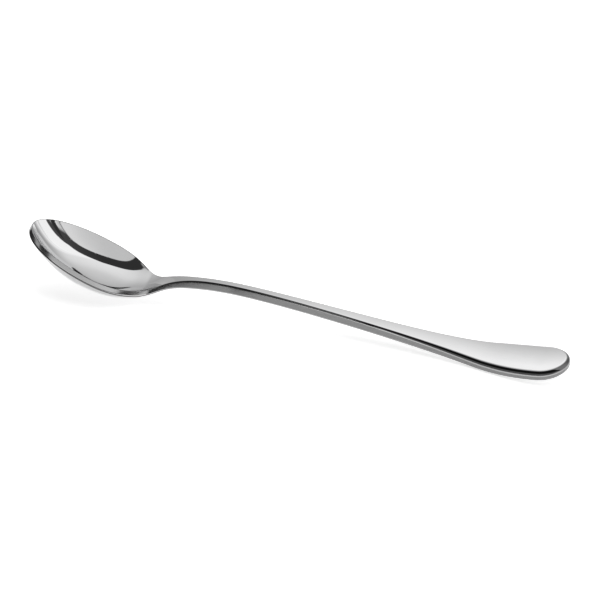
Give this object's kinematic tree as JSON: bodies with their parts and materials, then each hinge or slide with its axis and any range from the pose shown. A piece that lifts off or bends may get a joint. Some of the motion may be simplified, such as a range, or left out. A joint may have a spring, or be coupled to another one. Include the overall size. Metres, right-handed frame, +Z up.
{
  "type": "long-handled spoon",
  "caption": "Slim polished steel spoon with a small oval bowl, a long arched stem and a flat flared handle with a round end, for stirring and eating from tall glasses.",
  "frame": {"origin": "centre of the spoon's box on the table that it lies on", "axes": "+X along the spoon from the tip of the bowl to the end of the handle, +Y across it, +Z up out of the bowl"},
  "size_m": [0.2001, 0.0282, 0.0214],
  "materials": {
    "steel": "mirror-polished stainless steel"
  },
  "bodies": {
    "root": {"bowl": "steel", "neck": "steel", "stem": "steel", "handle": "steel"}
  },
  "joints": []
}
